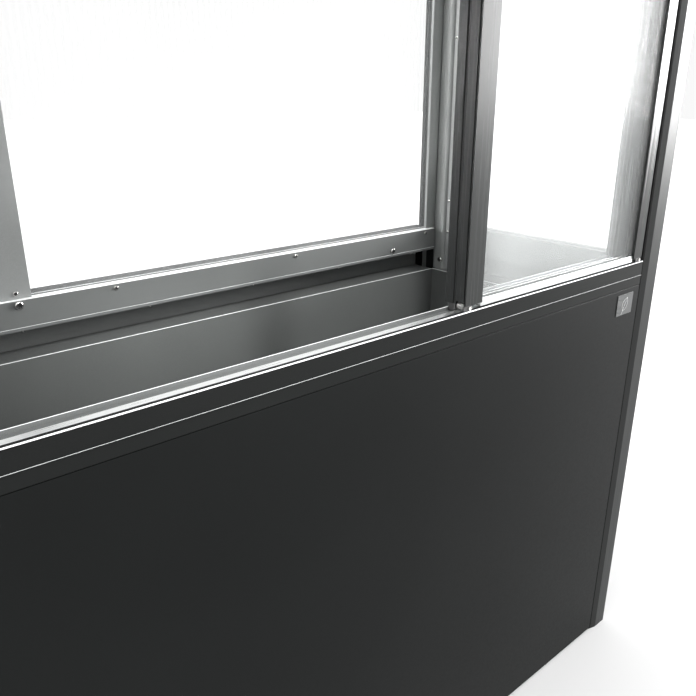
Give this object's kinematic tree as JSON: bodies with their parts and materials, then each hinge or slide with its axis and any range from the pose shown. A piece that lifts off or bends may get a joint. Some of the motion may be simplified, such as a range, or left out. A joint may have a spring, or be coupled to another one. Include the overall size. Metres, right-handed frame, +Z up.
{
  "type": "cold frame",
  "caption": "Raised cold frame: double-skinned metal bed with glazed top, sliding twin-wall front doors and rear-hinged roof lids.",
  "frame": {"origin": "on the ground at the centre of the footprint", "axes": "+X to the right along the front, +Y from front to rear, +Z up"},
  "size_m": [2.01, 0.582, 1.5211],
  "materials": {
    "bed_sheet": "satin dark grey metallic powder coat",
    "profile": "satin dark grey coated extrusion",
    "twin_wall": "clear twin-wall sheet, vertical ribs",
    "fastener": "bright stainless steel",
    "plate": "brushed, leaf outline, no text",
    "seal": "matt black",
    "steel": "zinc plated",
    "roller": "turned",
    "black_plastic": "moulded black"
  },
  "bodies": {
    "frame": {"centre_rafter": "profile", "cross_tie": "steel", "frame_bolts": "fastener", "frame_screws": "fastener", "front_head": "profile", "front_liner": "bed_sheet", "front_panel": "bed_sheet", "front_sill": "profile", "front_trim": "bed_sheet", "jamb_seals": "seal", "left_head": "profile", "left_liner": "bed_sheet", "left_pane": "twin_wall", "left_panel": "bed_sheet", "left_sill": "profile", "name_plate": "plate", "post_front_left": "profile", "post_front_right": "profile", "post_rear_left": "profile", "post_rear_right": "profile", "rear_beads": "profile", "rear_head": "profile", "rear_liner": "bed_sheet", "rear_mullion": "profile", "rear_pane_left": "twin_wall", "rear_pane_right": "twin_wall", "rear_panel": "twin_wall", "rear_sill": "profile", "right_head": "profile", "right_liner": "bed_sheet", "right_pane": "twin_wall", "right_panel": "bed_sheet", "right_sill": "profile", "side_beads": "profile"},
    "outer_door_right": {"outer_door_right_carriages": "black_plastic", "outer_door_right_pane": "twin_wall", "outer_door_right_rails": "profile", "outer_door_right_stiles": "profile"},
    "outer_door_left": {"outer_door_left_carriages": "black_plastic", "outer_door_left_pane": "twin_wall", "outer_door_left_rails": "profile", "outer_door_left_stiles": "profile"},
    "inner_door_right": {"inner_door_right_pane": "twin_wall", "inner_door_right_rails": "profile", "inner_door_right_shoes": "black_plastic", "inner_door_right_stiles": "profile"},
    "inner_door_left": {"inner_door_left_pane": "twin_wall", "inner_door_left_rails": "profile", "inner_door_left_shoes": "black_plastic", "inner_door_left_stiles": "profile"},
    "roller_right_inner": {"roller_right_inner": "roller"},
    "roller_right_end": {"roller_right_end": "roller"},
    "roller_left_inner": {"roller_left_inner": "roller"},
    "roller_left_end": {"roller_left_end": "roller"},
    "lid_right": {"lid_right_frame": "profile", "lid_right_pane": "twin_wall"},
    "lid_left": {"lid_left_frame": "profile", "lid_left_pane": "twin_wall"},
    "stay_right": {"stay_right": "steel"},
    "stay_left": {"stay_left": "steel"}
  },
  "joints": [
    {"name": "outer_door_right_slide", "type": "slide", "parent": "frame", "child": "outer_door_right", "axis": [1, 0, 0], "range_m": [-0.4495, 0]},
    {"name": "inner_door_right_slide", "type": "slide", "parent": "frame", "child": "inner_door_right", "axis": [1, 0, 0], "range_m": [-0.4495, 0]},
    {"name": "roller_right_inner_spin", "type": "hinge", "parent": "outer_door_right", "child": "roller_right_inner", "pos_m": [0.4575, -0.2775, 0.85555], "axis": [0, 1, 0], "continuous": true},
    {"name": "roller_right_end_spin", "type": "hinge", "parent": "outer_door_right", "child": "roller_right_end", "pos_m": [0.9305, -0.2775, 0.85555], "axis": [0, 1, 0], "continuous": true},
    {"name": "lid_right_hinge", "type": "hinge", "parent": "frame", "child": "lid_right", "pos_m": [0.5, 0.279, 1.50725], "axis": [-1, 0, 0], "range_deg": [0, 55]},
    {"name": "stay_right_pivot", "type": "hinge", "parent": "lid_right", "child": "stay_right", "pos_m": [0.9365, -0.13564, 1.4403], "axis": [-1, 0, 0], "range_deg": [0, 105]},
    {"name": "outer_door_left_slide", "type": "slide", "parent": "frame", "child": "outer_door_left", "axis": [1, 0, 0], "range_m": [0, 0.4495]},
    {"name": "inner_door_left_slide", "type": "slide", "parent": "frame", "child": "inner_door_left", "axis": [1, 0, 0], "range_m": [0, 0.4495]},
    {"name": "roller_left_inner_spin", "type": "hinge", "parent": "outer_door_left", "child": "roller_left_inner", "pos_m": [-0.4575, -0.2775, 0.85555], "axis": [0, 1, 0], "continuous": true},
    {"name": "roller_left_end_spin", "type": "hinge", "parent": "outer_door_left", "child": "roller_left_end", "pos_m": [-0.9305, -0.2775, 0.85555], "axis": [0, 1, 0], "continuous": true},
    {"name": "lid_left_hinge", "type": "hinge", "parent": "frame", "child": "lid_left", "pos_m": [-0.5, 0.279, 1.50725], "axis": [-1, 0, 0], "range_deg": [0, 55]},
    {"name": "stay_left_pivot", "type": "hinge", "parent": "lid_left", "child": "stay_left", "pos_m": [-0.9365, -0.13564, 1.4403], "axis": [-1, 0, 0], "range_deg": [0, 105]}
  ],
  "couplings": [
    {"joint": "roller_right_inner_spin", "follows": "outer_door_right_slide", "rad_per_m": 153.85},
    {"joint": "roller_right_end_spin", "follows": "outer_door_right_slide", "rad_per_m": 153.85},
    {"joint": "roller_left_inner_spin", "follows": "outer_door_left_slide", "rad_per_m": 153.85},
    {"joint": "roller_left_end_spin", "follows": "outer_door_left_slide", "rad_per_m": 153.85}
  ]
}
